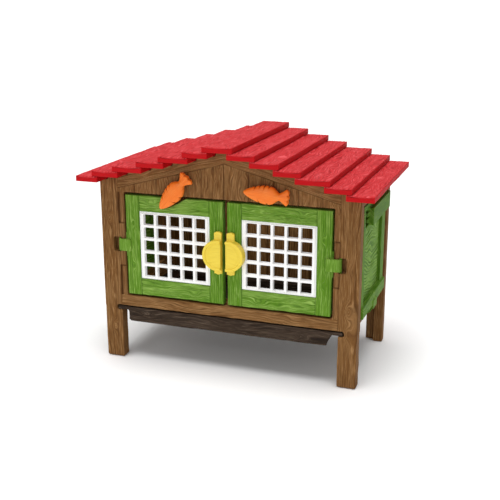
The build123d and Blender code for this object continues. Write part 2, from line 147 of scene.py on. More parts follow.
def grain(along, across, seed, pitch=1.7, wave=1.0, run=24.0, knots=()):
    """Moulded wood grain. A row is a point's cut, from 0 to 1, its tone, and its place along and across."""
    phase = across / pitch + wave * noise(along / run, across / (3.2 * pitch), seed)
    phase = phase + 0.4 * wave * noise(along / (0.35 * run), across / (2 * pitch), seed + 1)
    for knot_along, knot_across, size, rings in knots:
        phase = phase + rings * bump(along - knot_along, 2.2 * size) * bump(across - knot_across, size)
    line = 0.5 + 0.5 * np.cos(2 * math.pi * phase)
    strength = 0.62 + 0.38 * noise(along / (0.5 * run), across / (1.5 * pitch), seed + 2)
    fine = 0.5 + 0.5 * noise(along / 5.0, phase * pitch / 0.55, seed + 3)
    cut = np.clip(0.8 * line**2 * strength + 0.25 * fine, 0, 1)
    tone = 0.7 * noise(along / 14.0, phase * pitch / 0.9, seed + 4)
    tone = tone + 0.3 * noise(along / 40.0, across / 5.0, seed + 5)
    return np.stack([cut, tone, along, phase * pitch + 31.7 * seed], -1)


# ---- mesh building ----
def give_grain(mesh, rows, upward):
    """Stores the grain's rows and how far each point faces up, for the mesh's material."""
    values = {"cut": rows[:, 0], "tone": rows[:, 1], "upward": upward}
    for name, numbers in values.items():
        attribute = mesh.attributes.new(name, "FLOAT", "POINT")
        attribute.data.foreach_set("value", np.ascontiguousarray(numbers, dtype=np.float32))
    place = np.stack([rows[:, 2], rows[:, 3], 0 * rows[:, 2]], -1)
    attribute = mesh.attributes.new("grain_place", "FLOAT_VECTOR", "POINT")
    attribute.data.foreach_set("vector", np.ascontiguousarray(place, dtype=np.float32).ravel())


def read_points(mesh):
    points = np.empty(len(mesh.vertices) * 3)
    mesh.vertices.foreach_get("co", points)
    return points.reshape(-1, 3)


def read_normals(mesh):
    normals = np.empty(len(mesh.vertices) * 3)
    mesh.vertex_normals.foreach_get("vector", normals)
    return normals.reshape(-1, 3)


def finish_mesh(mesh, sharp_angle=40):
    """Scales a mesh from millimetres to metres and shades it smooth between its edges."""
    mesh.transform(Matrix.Scale(MM, 4))
    mesh.polygons.foreach_set("use_smooth", np.ones(len(mesh.polygons), dtype=bool))
    mesh.set_sharp_from_angle(angle=math.radians(sharp_angle))
    mesh.update()


def added(name, data):
    """A new object in the scene."""
    made = bpy.data.objects.new(name, data)
    bpy.context.scene.collection.objects.link(made)
    return made


def place(name, mesh, node, material):
    """Puts a finished mesh where its CAD node is, to stand for it."""
    piece = added(name, mesh)
    mesh.materials.clear()
    mesh.materials.append(materials[material])
    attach(piece, frame["nodes"][node]["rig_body"])
    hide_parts(node)


def worked(node, **modifiers):
    """A node's mesh in millimetres, after modifiers given as TYPE=settings."""
    mesh = frame["nodes"][node].data.copy()
    mesh.transform(Matrix.Scale(1 / MM, 4))
    mesh.materials.clear()
    work = added(node + "_work", mesh)
    for kind, settings in modifiers.items():
        modifier = work.modifiers.new(kind, kind)
        for setting, value in settings.items():
            setattr(modifier, setting, value)
    evaluated = work.evaluated_get(bpy.context.evaluated_depsgraph_get())
    shaped = bpy.data.meshes.new_from_object(evaluated)
    bpy.data.objects.remove(work)
    bpy.data.meshes.remove(mesh)
    return shaped


def carved(node, name, material, rule, voxel=0.45, rounds=3):
    """A piece with its node's shape, its edges softened, cut into by a rule.

    The rule takes points and normals and gives the depth cut in millimetres and the grain's rows."""
    mesh = worked(
        node,
        REMESH={"mode": "VOXEL", "voxel_size": voxel},
        SMOOTH={"factor": 0.5, "iterations": rounds},
    )
    points, normals = read_points(mesh), read_normals(mesh)
    depth, rows = rule(points, normals)
    points = points - normals * depth[:, None]
    mesh.vertices.foreach_set("co", points.ravel())
    give_grain(mesh, rows, np.clip(normals[:, 2], 0, 1))
    finish_mesh(mesh)
    place(name, mesh, node, material)


def loft(rings):
    """Points and faces of a closed skin over rings of points, a fan at each end."""
    count, around = rings.shape[:2]
    points = np.concatenate([rings.reshape(-1, 3), rings[0].mean(0)[None], rings[-1].mean(0)[None]])
    faces = []
    for k in range(count - 1):
        for j in range(around):
            step = (j + 1) % around
            faces.append((k * around + j, k * around + step, (k + 1) * around + step, (k + 1) * around + j))
    last = (count - 1) * around
    for j in range(around):
        step = (j + 1) % around
        faces.append((count * around, step, j))
        faces.append((count * around + 1, last + j, last + step))
    return points, faces


def mesh_of(name, points, faces):
    mesh = bpy.data.meshes.new(name)
    mesh.from_pydata(points.tolist(), [], faces)
    mesh.update()
    return mesh


# ---- materials ----
def node_of(tree, kind, **settings):
    made = tree.nodes.new("ShaderNode" + kind)
    for setting, value in settings.items():
        setattr(made, setting, value)
    return made


def mixed(tree, factor, first, second):
    """A colour between two, each a socket or three numbers."""
    mix = node_of(tree, "Mix", data_type="RGBA")
    tree.links.new(factor, mix.inputs["Factor"])
    ends = [s for s in mix.inputs if s.type == "RGBA"]
    for socket, colour in zip(ends, (first, second)):
        if isinstance(colour, tuple):
            socket.default_value = (*colour, 1)
        else:
            tree.links.new(colour, socket)
    return next(s for s in mix.outputs if s.type == "RGBA")


def ranged(tree, value, from_low, from_high, to_low, to_high):
    """A value socket carried from one range to another."""
    made = node_of(tree, "MapRange")
    for socket, number in zip(made.inputs[1:5], (from_low, from_high, to_low, to_high)):
        socket.default_value = number
    tree.links.new(value, made.inputs[0])
    return made.outputs[0]


STREAK_SCALE = (0.11, 1.9, 1)
STREAK_DEPTH = 0.12


def wood_streak(tree):
    """Fine noise from 0 to 1, drawn out along the grain."""
    grain_place = node_of(tree, "Attribute", attribute_name="grain_place").outputs["Vector"]
    stretched = node_of(tree, "Mapping")
    stretched.inputs["Scale"].default_value = STREAK_SCALE
    tree.links.new(grain_place, stretched.inputs["Vector"])
    streaks = node_of(tree, "TexNoise")
    streaks.inputs["Scale"].default_value = 1
    streaks.inputs["Detail"].default_value = 3
    streaks.inputs["Roughness"].default_value = 0.6
    tree.links.new(stretched.outputs["Vector"], streaks.inputs["Vector"])
    return streaks.outputs["Fac"]


def raised_streak(tree, streak, strength):
    """The normals of a surface that stands up along its streaks."""
    raised = node_of(tree, "Bump")
    raised.inputs["Strength"].default_value = strength
    raised.inputs["Distance"].default_value = STREAK_DEPTH * MM
    tree.links.new(streak, raised.inputs["Height"])
    return raised.outputs["Normal"]


def moulded(
    name, body, deep, pale, top=None,
    contrast=1.0, depths=0.6, relief=0.6, roughness=(0.55, 0.75), specular=0.1,
):
    """Moulded plastic: dark in its cuts, pale on its crests and streaks, where the plastic is paler and a
    highlight is painted, with fine grain along the wood.

    A material with a top has that colour, a painted sheen of the overhead light, and its crests' painted
    highlight, only where the surface faces up."""
    material = bpy.data.materials.new(name)
    material.use_nodes = True
    tree = material.node_tree
    shader = tree.nodes["Principled BSDF"]
    cut = node_of(tree, "Attribute", attribute_name="cut").outputs["Fac"]
    tone = node_of(tree, "Attribute", attribute_name="tone").outputs["Fac"]
    upward = node_of(tree, "Attribute", attribute_name="upward").outputs["Fac"]
    streak = wood_streak(tree)
    colour = mixed(tree, ranged(tree, tone, -0.3, 1.0, 0, 0.5), body, pale)
    # Pale along the streaks: partly the plastic's own paler crests, partly painted highlight.
    pale_crest_and_highlight = ranged(tree, streak, 0.52, 0.66, 0, 0.9 * contrast)
    # Faces pointing up take the top colour, a painted sheen of the overhead light, and keep the crests'
    # painted highlight.
    if top:
        colour = mixed(tree, ranged(tree, upward, 0.6, 0.95, 0, 1), colour, top)
        colour = mixed(tree, ranged(tree, tone, 0.1, 0.9, 0, 0.35), colour, pale)
        on_top = node_of(tree, "Math", operation="MULTIPLY")
        tree.links.new(pale_crest_and_highlight, on_top.inputs[0])
        tree.links.new(upward, on_top.inputs[1])
        pale_crest_and_highlight = on_top.outputs[0]
    colour = mixed(tree, pale_crest_and_highlight, colour, pale)
    colour = mixed(tree, ranged(tree, streak, 0.47, 0.3, 0, depths * contrast), colour, deep)
    colour = mixed(tree, ranged(tree, cut, 0.2, 0.95, 0, 0.25 + depths), colour, deep)
    tree.links.new(colour, shader.inputs["Base Color"])
    tree.links.new(ranged(tree, streak, 0.3, 0.7, *roughness), shader.inputs["Roughness"])
    tree.links.new(raised_streak(tree, streak, relief), shader.inputs["Normal"])
    shader.inputs["Specular IOR Level"].default_value = specular
    return material


FINISHES = {
    "frame_brown": {
        "body": (0.18, 0.08, 0.022), "deep": (0.06, 0.021, 0.004), "pale": (0.36, 0.2, 0.08),
    },
    "panel_green": {
        "body": (0.098, 0.228, 0.012), "deep": (0.028, 0.088, 0.004), "pale": (0.3, 0.47, 0.1),
        "depths": 0.4,
    },
    "roof_red": {
        "body": (0.47, 0.004, 0.007), "deep": (0.26, 0.002, 0.004), "pale": (0.74, 0.11, 0.12),
        # The top colour is a painted sheen: the boards' tops as the overhead light catches them.
        "top": (0.54, 0.026, 0.031),
    },
    "grid_white": {
        "body": (0.95, 0.95, 0.94), "deep": (0.8, 0.8, 0.79), "pale": (0.96, 0.96, 0.96),
        "contrast": 0.2, "relief": 0.1,
    },
    "handle_yellow": {
        "body": (0.8, 0.6, 0.05), "deep": (0.4, 0.22, 0.008), "pale": (0.87, 0.7, 0.11),
        "contrast": 0.3, "relief": 0.1, "roughness": (0.3, 0.4), "specular": 0.3,
    },
    "carrot_orange": {
        "body": (0.85, 0.175, 0.012), "deep": (0.28, 0.03, 0.002), "pale": (0.92, 0.29, 0.05),
        "contrast": 0.4, "relief": 0.1, "roughness": (0.3, 0.42), "specular": 0.25,
    },
    "tray_dark_brown": {
        "body": (0.034, 0.02, 0.012), "deep": (0.01, 0.006, 0.004), "pale": (0.12, 0.085, 0.06),
    },
}
materials = {name: moulded(name, **finish) for name, finish in FINISHES.items()}


# ---- the roof ----
BOARD_CORNER = 0.45
BOARD_TOP_STEP = 0.55
BOARD_STATION = 1.25
BOARD_KNOTS = 3
BOARD_TOP_CUT = 0.35
BOARD_SIDE_CUT = 0.08
BOARD_WANDER = 0.35
# Painted shade: the boards' sides and ends are darker than their tops, which the light falls on.
BOARD_SIDE_AND_END_SHADE = -0.6


def section(width, height, corner):
    """The outline of a board's end and its outward normals, in (points, 2) arrays."""
    arc = np.radians([0, 30, 60])
    steps = max(int((width - 2 * corner) / BOARD_TOP_STEP), 4)
    top = np.linspace(width - corner, corner, steps, endpoint=False)
    rise = np.linspace(corner, height - corner, 5, endpoint=False)
    bottom = np.linspace(corner, width - corner, 12, endpoint=False)
    outline, normals = [], []

    def bend(centre_u, centre_w, start):
        for turn in arc:
            out_u, out_w = math.cos(start + turn), math.sin(start + turn)
            outline.append((centre_u + corner * out_u, centre_w + corner * out_w))
            normals.append((out_u, out_w))

    quarter = math.pi / 2
    outline += [(u, 0) for u in bottom]
    normals += [(0, -1)] * len(bottom)
    bend(width - corner, corner, -quarter)
    outline += [(width, w) for w in rise]
    normals += [(1, 0)] * len(rise)
    bend(width - corner, height - corner, 0)
    outline += [(u, height) for u in top]
    normals += [(0, 1)] * len(top)
    bend(corner, height - corner, quarter)
    outline += [(0, w) for w in rise[::-1]]
    normals += [(-1, 0)] * len(rise)
    bend(corner, corner, 2 * quarter)
    return np.array(outline), np.array(normals)


def board_stations(start, end):
    """Places along a board, and how far in its outline is pulled at each to round the ends."""
    inset = BOARD_CORNER * np.array([1, 0.5, 0.13])
    ends = BOARD_CORNER * np.array([0, 0.13, 0.5])
    count = int((end - start) / BOARD_STATION)
    straight = np.linspace(start + BOARD_CORNER, end - BOARD_CORNER, count)
    places = np.concatenate([start + ends, straight, end - ends[::-1]])
    return places, np.concatenate([inset, np.zeros(count), inset[::-1]])


def board_knots(seed, start, end, width):
    """Knots on a board, at places that its seed settles."""
    knots = []
    for number in range(BOARD_KNOTS):
        along = start + (end - start) * (0.5 + 0.4 * hashed(np.array(seed), np.array(number), 7))
        across = width * (0.5 + 0.3 * hashed(np.array(seed), np.array(number), 9))
        knots.append((along, across, 1.6, 2.5))
    return knots


def roof_board(node, name, seed):
    """A board that runs front to back, its top cut with grain and its outer edge a little wavy."""
    low, high = box(node)
    width, height = high[0] - low[0], high[2] - low[2]
    outline, normals = section(width, height, BOARD_CORNER)
    outer = 1 if low[0] + high[0] > 0 else -1
    places, pull = board_stations(low[1], high[1])
    y, across = np.meshgrid(places, outline[:, 0], indexing="ij")
    rise = np.broadcast_to(outline[:, 1], y.shape)
    n_across = np.broadcast_to(normals[:, 0], y.shape)
    n_rise = np.broadcast_to(normals[:, 1], y.shape)
    knots = board_knots(seed, low[1], high[1], width)
    top_rows = grain(y, across, seed, pitch=1.6, wave=1.5, run=18, knots=knots)
    side_rows = grain(y, rise, seed + 50, pitch=1.5, wave=0.5)
    on_top = np.clip(n_rise, 0, 1) ** 2
    on_side = np.abs(n_across) ** 2
    depth = BOARD_TOP_CUT * on_top * top_rows[..., 0] + BOARD_SIDE_CUT * on_side * side_rows[..., 0]
    rows = np.where((on_top > 0.3)[..., None], top_rows, side_rows)
    rows[..., 0] *= on_top + 0.15 * on_side
    rows[..., 1] = on_top * top_rows[..., 1] + 0.4 * on_side * side_rows[..., 1]
    # Painted shade on the sides and end caps, which face away from the overhead light.
    rows[..., 1] += BOARD_SIDE_AND_END_SHADE * (1 - on_top)
    reach = depth + pull[:, None]
    wander = BOARD_WANDER * (0.5 + 0.5 * noise(y / 16, np.full_like(y, seed), 3))
    share = across / width if outer > 0 else 1 - across / width
    x = low[0] + across - n_across * reach - outer * wander * share**3
    z = low[2] + rise - n_rise * reach
    mesh = mesh_of(node, *loft(np.stack([x, y, z], -1)))
    end_rows = np.array([[0, BOARD_SIDE_AND_END_SHADE, low[1], 0], [0, BOARD_SIDE_AND_END_SHADE, high[1], 0]])
    give_grain(mesh, np.concatenate([rows.reshape(-1, 4), end_rows]), np.append(on_top.ravel(), (0, 0)))
    finish_mesh(mesh)
    place(name, mesh, node, "roof_red")


# ---- rules that cut grain into the moulded frames ----
def upright_grain(points, seed, **settings):
    return grain(points[:, 2], points[:, 0] + points[:, 1], seed, **settings)


def level_grain(points, seed, **settings):
    return grain(points[:, 0], points[:, 2] + points[:, 1], seed, **settings)


def deep_grain(points, seed, **settings):
    return grain(points[:, 1], points[:, 2] + points[:, 0], seed, **settings)


def chosen(mask, first, second):
    """The first grain's rows where the mask holds and the second's elsewhere."""
    return np.where(mask[:, None], first, second)


def shaded(rows, cut, keep=1.0, tone=0.0):
    """The same rows with more cut, kept or faded, and a tone shift."""
    rows = rows.copy()
    rows[:, 0] = np.clip(rows[:, 0] + cut, 0, 1) * keep
    rows[:, 1] = (rows[:, 1] + tone) * keep
    return rows


def ragged(places, length, seed):
    """A slow wander from 0 to 1 along an edge."""
    return 0.5 + 0.5 * noise(places / length, 0 * places, seed)


def siding_seam(x, width):
    """The seams between the siding's boards, which aren't quite evenly spaced."""
    shifted = x + 1.8 * noise(x / SIDING_PITCH / 1.7, 0 * x, 37)
    return bump((shifted + SIDING_PITCH / 2) % SIDING_PITCH - SIDING_PITCH / 2, width)


POST_KNOT_X = 72
POST_KNOTS = ((46, 1, 2.2, 3.5), (33, 1, 2.0, 2.5), (20, -1, 1.6, 2.0), (70, 1, 2.0, 1.5))


def front_frame_regions(points):
    """Where the points are on the posts, the gable and its rafters, and how far each is below the roof."""
    x, z = points[:, 0], points[:, 2]
    on_post = (np.abs(x) > post_inner) | (z < sill_bottom - 0.2)
    on_gable = ~on_post & (z > opening_top - 3)
    below_roof = roof_line(x) - z
    on_rafter = on_gable & (below_roof < RAFTER_HEIGHT + 0.2)
    return on_post, on_gable, on_rafter, below_roof


def front_frame_grain(points, on_post, on_gable, on_rafter):
    """Upright grain on the posts, jambs and siding, level grain on the sill, and grain along the rafters."""
    x, z = points[:, 0], points[:, 2]
    slope = math.atan(GABLE_SLOPE)
    sway = np.abs(x) * math.cos(slope) - (z - GABLE_APEX) * math.sin(slope)
    rise = np.abs(x) * math.sin(slope) + (z - GABLE_APEX) * math.cos(slope)
    knots = [(height, hand * POST_KNOT_X + front, size, rings) for height, hand, size, rings in POST_KNOTS]
    knots.append((88, -POST_KNOT_X - 1 + front, 1.6, 1.6))
    posts = upright_grain(points, 11, pitch=1.5, wave=0.9, run=40, knots=knots)
    sill = level_grain(points, 23, pitch=1.25, wave=1.4, run=20)
    siding = upright_grain(points, 31, pitch=1.1, wave=1.3, run=11)
    rafters = grain(sway, rise + points[:, 1], 47, pitch=1.2, wave=0.9, run=26)
    on_jamb = (np.abs(x) > PIN_X - 2) & ~on_gable & (z > sill_top)
    rows = chosen(on_gable, siding, sill)
    rows = chosen(on_rafter, rafters, rows)
    return chosen(on_post | on_jamb, posts, rows)


def front_frame_rule(points, normals):
    """Grain, seams between the siding's boards, shadow lines round the posts, rafters and pins, and a slit
    of painted shade down the left jamb.
    """
    x, z = points[:, 0], points[:, 2]
    on_post, on_gable, on_rafter, below_roof = front_frame_regions(points)
    rows = front_frame_grain(points, on_post, on_gable, on_rafter)
    facing = np.abs(normals[:, 1]) > 0.5
    seam = 0.75 * siding_seam(x, 0.3) * (on_gable & ~on_rafter)
    rim = bump(np.abs(x) - post_inner, 0.25) * (z > sill_bottom) * facing
    step = bump(below_roof - RAFTER_HEIGHT, 0.35) * (on_gable & facing)
    from_pin_end = np.abs(z - hinge_z) - PIN_HALF
    # Painted shade: a dark slit down the left jamb, above and below the pin, cut in and darkened.
    slit = bump(x + post_inner - 0.3, 0.45) * (z > sill_top) * (from_pin_end > 0) * facing
    slit = slit * (z < opening_top)
    pin = bump(np.abs(x) - post_inner + 0.1, 0.35) * (from_pin_end < 0) * (x > 0) * facing
    pin = pin + bump(from_pin_end, 0.35) * (np.abs(np.abs(x) - PIN_X) < 2) * facing
    edge = on_gable & (normals[:, 2] < -0.5) & (z < opening_top + 1)
    inner = on_post & (np.abs(normals[:, 0]) > 0.6) & (z < sill_bottom - 1)
    depth = 0.24 * rows[:, 0] + 0.45 * seam + 0.12 * rim + 0.1 * step + 0.4 * slit + 0.3 * pin
    depth = depth + 0.45 * edge * ragged(x, 3, 5) + 0.35 * inner * ragged(z, 7, 6)
    tone = np.where(on_post | on_gable, 0.0, 0.35 * (normals[:, 1] < -0.5)) + 0.3 * on_rafter
    return depth, shaded(rows, seam + 0.4 * rim + 0.5 * step + 1.5 * slit + pin, tone=tone)


def back_frame_rule(points, normals):
    x = points[:, 0]
    rows = upright_grain(points, 61, pitch=1.7, wave=1.0, run=30)
    wall = (np.abs(x) < post_inner) & (np.abs(normals[:, 1]) > 0.5)
    seam = siding_seam(x, 0.45) * wall
    return 0.2 * rows[:, 0] + 0.5 * seam, shaded(rows, seam)


def rail_rule(points, normals):
    rows = deep_grain(points, 71, pitch=1.6, wave=0.8)
    return 0.15 * rows[:, 0], rows


STILE_KNOT_X = 57


def door_rule(seed):
    """Upright grain on the stiles, wavy level grain on the rails, and smooth clips."""

    def rule(points, normals):
        x, z = np.abs(points[:, 0]), points[:, 2]
        middle = (door_low[0] + OUTER_STILE_END) / 2
        stile_knots = [(door_high[2] - 17, STILE_KNOT_X + door_face, 1.3, 2.0),
                       (door_low[2] + 18, STILE_KNOT_X + door_face, 1.2, 1.6)]
        rail_knots = [(middle + 14, door_high[2] - 4 + door_face, 1.4, 2.0),
                      (middle - 12, door_low[2] + 4 + door_face, 1.6, 2.0)]
        local = np.stack([x, points[:, 1], z], -1)
        stiles = upright_grain(local, seed, pitch=1.25, wave=0.55, run=36, knots=stile_knots)
        rails = level_grain(local, seed + 7, pitch=1.05, wave=1.3, run=13, knots=rail_knots)
        facing = np.abs(normals[:, 1]) > 0.5
        on_rail = (x > window_x[0]) & (x < window_x[1])
        rows = chosen(on_rail, rails, stiles)
        smooth = (points[:, 1] < door_face - 0.25) | (x > OUTER_STILE_END + 0.3)
        seam = (bump(x - window_x[0], 0.3) + bump(x - window_x[1], 0.3)) * facing
        hem_x = (np.abs(normals[:, 0]) > 0.6) & ((x < door_low[0] + 1) | (x > OUTER_STILE_END - 1))
        hem_z = (np.abs(normals[:, 2]) > 0.6) & ((z < door_low[2] + 1) | (z > door_high[2] - 1))
        depth = np.where(on_rail, 0.36, 0.22) * rows[:, 0] + 0.3 * seam + 0.16 * on_rail * facing
        depth = depth + 0.3 * hem_x * ragged(z, 8, seed + 3) + 0.4 * hem_z * ragged(x, 7, seed + 4)
        keep = np.where(smooth, 0.0, 1.0)
        return depth * keep, shaded(rows, 0.6 * seam, keep, np.where(on_rail, 0.4, -0.1))

    return rule


BOWL_RADIUS = 7.4
BOWL_DEPTH = 0.6
STEM_HALF = 2.3


def handle_rule(points, normals):
    """A shallow bowl with a thin rim, painted shade round the bowl's edge, and rounded ends to the stem."""
    x, z = np.abs(points[:, 0]), points[:, 2]
    near = np.hypot(x - handle_low[0], z - hinge_z)
    facing = normals[:, 1] < -0.5
    bowl = np.clip(1 - (near / BOWL_RADIUS) ** 2, 0, 1) * facing
    # Painted shade in the crease round the bowl's edge.
    bowl_edge_shade = bump(near - BOWL_RADIUS + 0.1, 0.6) * facing
    off_middle = (x - handle_low[0] - STEM_HALF) / STEM_HALF
    above, below = z > handle_high[2] - 0.6, z < handle_low[2] + 0.6
    depth = BOWL_DEPTH * bowl + off_middle**2 * (0.9 * above + 1.6 * below)
    rows = shaded(grain(x, z, 81, pitch=4.0), 0, keep=0.05)
    return depth, rows + bowl_edge_shade[:, None] * (0.25, -0.3, 0, 0)


PLANK_THICKNESS = 2.6


def tray_rule(points, normals):
    """Level grain, deepest on the plank at the front, whose lower edge is worn."""
    x, y, z = points.T
    knots = [(46, tray_low[2] + 4 + front, 1.4, 2.5), (-50, tray_low[2] + 6 + front, 1.2, 2.0)]
    rows = level_grain(points, 91, pitch=1.25, wave=1.2, run=26, knots=knots)
    plank = y < front + PLANK_THICKNESS
    low_edge = plank & (normals[:, 2] < -0.5) & (z < tray_low[2] + 3)
    depth = np.where(plank, 0.32, 0.12) * rows[:, 0]
    return depth + low_edge * (0.8 * ragged(x, 17, 93) + 0.8 * bump(x - 8, 20)), rows


COMB_HEIGHT = 16
COMB_REACH = 12
RAMP_BOARD_FACE = 76.5


def ramp_frame_rule(points, normals):
    """Grain along the stiles and rails, a ragged back stile, and painted shade: all over the frame, more
    above the board under the eave, most inside the comb.
    """
    x, y, z = np.abs(points[:, 0]), points[:, 1], points[:, 2]
    stiles = grain(z, x + y, 101, pitch=1.8, wave=0.5, run=40)
    rails = grain(y, x + z, 103, pitch=1.4, wave=0.9, run=20)
    above_board = z > panel_high[2]
    rows = chosen(above_board | (z < panel_low[2]), rails, stiles)
    wavy = (np.abs(normals[:, 1]) > 0.6) * (z > panel_low[2]) * (z < panel_high[2]) * (y > 0)
    depth = np.where(above_board, 0.04, 0.14) * rows[:, 0] + wavy * 0.5 * ragged(z, 5, 105)
    in_comb = (z > ramp_high[2] - COMB_HEIGHT) & (z < ramp_high[2] - 2)
    in_comb &= (y > ramp_low[1] + 1) & (y < ramp_low[1] + COMB_REACH)
    in_comb &= (x < side + 2.2) & (np.abs(normals[:, 0]) < 0.7)
    # Painted shade: darker all over the side frame, darker still above the board in the eave's shadow,
    # darkest inside the comb.
    return depth, shaded(rows, 0.25 + 0.15 * above_board + 0.75 * in_comb, tone=-0.35)


def ramp_board_rule(points, normals):
    """Strong grain along the board, paler on its crests as paler plastic and painted highlight, and a gap at
    its back end cut in and darkened as painted shade.
    """
    x, y, z = np.abs(points[:, 0]), points[:, 1], points[:, 2]
    knots = [(-8, RAMP_BOARD_FACE + 64, 4.0, 1.6), (8, RAMP_BOARD_FACE + 84, 4.0, 2.0)]
    rows = grain(y, x + z + 0.1 * y, 111, pitch=2.2, wave=1.2, run=22, knots=knots)
    rows[:, 2] *= 0.35
    # Painted shade in the gap where the board's back end meets the frame.
    gap = bump(y - panel_high[1], 0.9) * (np.abs(normals[:, 0]) > 0.5)
    # Paler on the least cut crests: partly the plastic's paler crests, partly painted highlight.
    rows[:, 1] = 2.6 * (0.3 - rows[:, 0])
    return 0.6 * rows[:, 0] + 0.5 * gap, shaded(rows, gap)


def rib_rule(points, normals):
    rows = level_grain(points, 121, pitch=1.8, wave=0.8)
    return 0.12 * rows[:, 0], rows


# ---- the carrots ----
# Distance ahead of the pivot and half the width there, from the tip to the neck.
CARROT_STATIONS = ((16.2, 0.5), (15.5, 1.4), (13.0, 2.75), (10.0, 3.95), (7.0, 4.8), (4.5, 5.25), (2.0, 5.3),
                   (-0.2, 4.9), (-1.9, 3.9), (-3.2, 2.6), (-4.2, 1.9))
CARROT_AROUND = 56
CARROT_ALONG = 84
UPPER_CREASES = (10.4, 7.8, 5.2, 2.6)
LOWER_CREASES = (8.0, 3.4)
CREASE_WIDTH = 0.38
CREASE_DEPTH = 0.14
TAIL_STATIONS = 26
TAIL_LENGTH = 5.8
TAIL_FLARE = 2.6
STEM_RADIUS = 2.0
BARB_RADIUS = 2.7
BARB_LENGTH = 1.2

around = np.linspace(0, 2 * math.pi, CARROT_AROUND, endpoint=False)
carrot_cos, carrot_sin = np.cos(around), np.sin(around)
carrot_swell = np.sign(carrot_sin) * np.abs(carrot_sin) ** 0.85


def carrot_outline():
    """Places along the body and half its width at each, smoothed."""
    stations = np.array(CARROT_STATIONS[::-1])
    along = np.linspace(CARROT_STATIONS[0][0], CARROT_STATIONS[-1][0], CARROT_ALONG)
    width = np.interp(along, stations[:, 0], stations[:, 1])
    return along, np.convolve(np.pad(width, 3, mode="edge"), np.ones(7) / 7, "valid")


def carrot_body(places, width, thick):
    """The body's rings along, across and out of its plane, and how deep its creases are."""
    along = np.repeat(places[:, None], CARROT_AROUND, 1)
    across = width[:, None] * carrot_cos[None]
    out = thick[:, None] * carrot_swell[None]
    crease = np.zeros_like(along)
    for spots, way in ((UPPER_CREASES, -1), (LOWER_CREASES, 1)):
        for number, spot in enumerate(spots):
            side_share = np.clip(way * carrot_cos, 0, 1) ** (3.2 if number % 2 else 1.5)
            slant = spot - 0.2 * np.abs(across)
            crease = np.maximum(crease, bump(along - slant, CREASE_WIDTH) * side_share[None])
    shrink = 1 - CREASE_DEPTH * crease
    return along, across * shrink, out * shrink, crease


def carrot_tail(neck, neck_width, neck_thick):
    """The leaves' rings, like the body's: a fan behind the neck with lobes at its end."""
    share = np.linspace(0, 1, TAIL_STATIONS)[1:]
    spread = np.broadcast_to(carrot_cos, (len(share), CARROT_AROUND))
    lobes = np.abs(np.cos(1.5 * math.pi * spread)) ** 0.6
    length = TAIL_LENGTH * (1 - 0.12 * np.abs(spread) ** 2) - 0.85 * (1 - lobes)
    round_off = np.sqrt(np.clip(1 - np.clip((share - 0.86) / 0.14, 0, 1) ** 2, 0, 1))
    width = neck_width + TAIL_FLARE * np.clip(share * 1.1, 0, 1) ** 1.2
    across = width[:, None] * spread * (0.94 + 0.06 * round_off[:, None])
    thick = neck_thick * (1 - 0.1 * share) * (0.25 + 0.75 * round_off)
    groove = bump(np.abs(spread) - 0.36, 0.09) * share[:, None]
    out = thick[:, None] * carrot_swell[None] * (1 - 0.22 * groove)
    return neck - share[:, None] * length, across, out, 0.5 * groove


def carrot_stem(pivot, start, end):
    """Points and faces of the stem, with its barb at the end."""
    ring = np.stack([carrot_cos, 0 * around, carrot_sin], -1)
    stations = [(start, STEM_RADIUS), (end - BARB_LENGTH, STEM_RADIUS), (end - BARB_LENGTH, BARB_RADIUS),
                (end - 0.3, BARB_RADIUS), (end, BARB_RADIUS - 0.3)]
    return loft(np.array([pivot * (1, 0, 1) + (0, y, 0) + radius * ring for y, radius in stations]))


def carrot(node, name, joint, direction):
    """A puffy carrot with creased edges, a pinched neck and lobed leaves, on the stem it turns on.

    Its tip points in a direction given in degrees, as seen from the front, from +X up to +Z."""
    low, high = box(node)
    y_front, y_back = low[1], front - 0.4
    middle, half = (y_front + y_back) / 2, (y_back - y_front) / 2
    pivot = pivot_of(joint)
    turn = math.radians(direction)
    places, width = carrot_outline()
    thick = half * np.clip(0.42 + 0.58 * np.sin(np.clip(width / 5.1, 0, 1) * math.pi / 2), 0, 1)
    thick = np.minimum(thick, width * 1.15)
    body = carrot_body(places, width, thick)
    tail = carrot_tail(places[-1], width[-1], thick[-1])
    along, across, out, cut = (np.concatenate(pair) for pair in zip(body, tail))
    x = pivot[0] + along * math.cos(turn) - across * math.sin(turn)
    z = pivot[2] + along * math.sin(turn) + across * math.cos(turn)
    points, faces = loft(np.stack([x, middle + out, z], -1))
    stem_points, stem_faces = carrot_stem(pivot, y_back - 0.6, high[1])
    faces += [tuple(i + len(points) for i in face) for face in stem_faces]
    mesh = mesh_of(name, np.concatenate([points, stem_points]), faces)
    # The creases and the leaves' grooves go dark through the cut: painted shade in the hollows.
    rows = np.stack([cut, 0.5 * noise(along / 3, across / 3, 131), along, across], -1).reshape(-1, 4)
    plain = np.zeros((len(mesh.vertices) - len(rows), 4))
    give_grain(mesh, np.concatenate([rows, plain]), np.zeros(len(mesh.vertices)))
    finish_mesh(mesh, sharp_angle=50)
    place(name, mesh, node, "carrot_orange")


def eased(node, name, material, width):
    """A straight-edged piece with every edge eased."""
    mesh = worked(
        node,
        WELD={"merge_threshold": 0.001},
        BEVEL={"width": width, "segments": 2, "limit_method": "ANGLE", "harden_normals": False},
    )
    points = read_points(mesh)
    rows = shaded(grain(points[:, 0], points[:, 2], 141), 0, keep=0.1)
    give_grain(mesh, rows, 0 * points[:, 0])
    finish_mesh(mesh, sharp_angle=30)
    place(name, mesh, node, material)


# ---- the pieces ----
LEFT_CARROT_DIRECTION = 228.4
RIGHT_CARROT_DIRECTION = 176.0

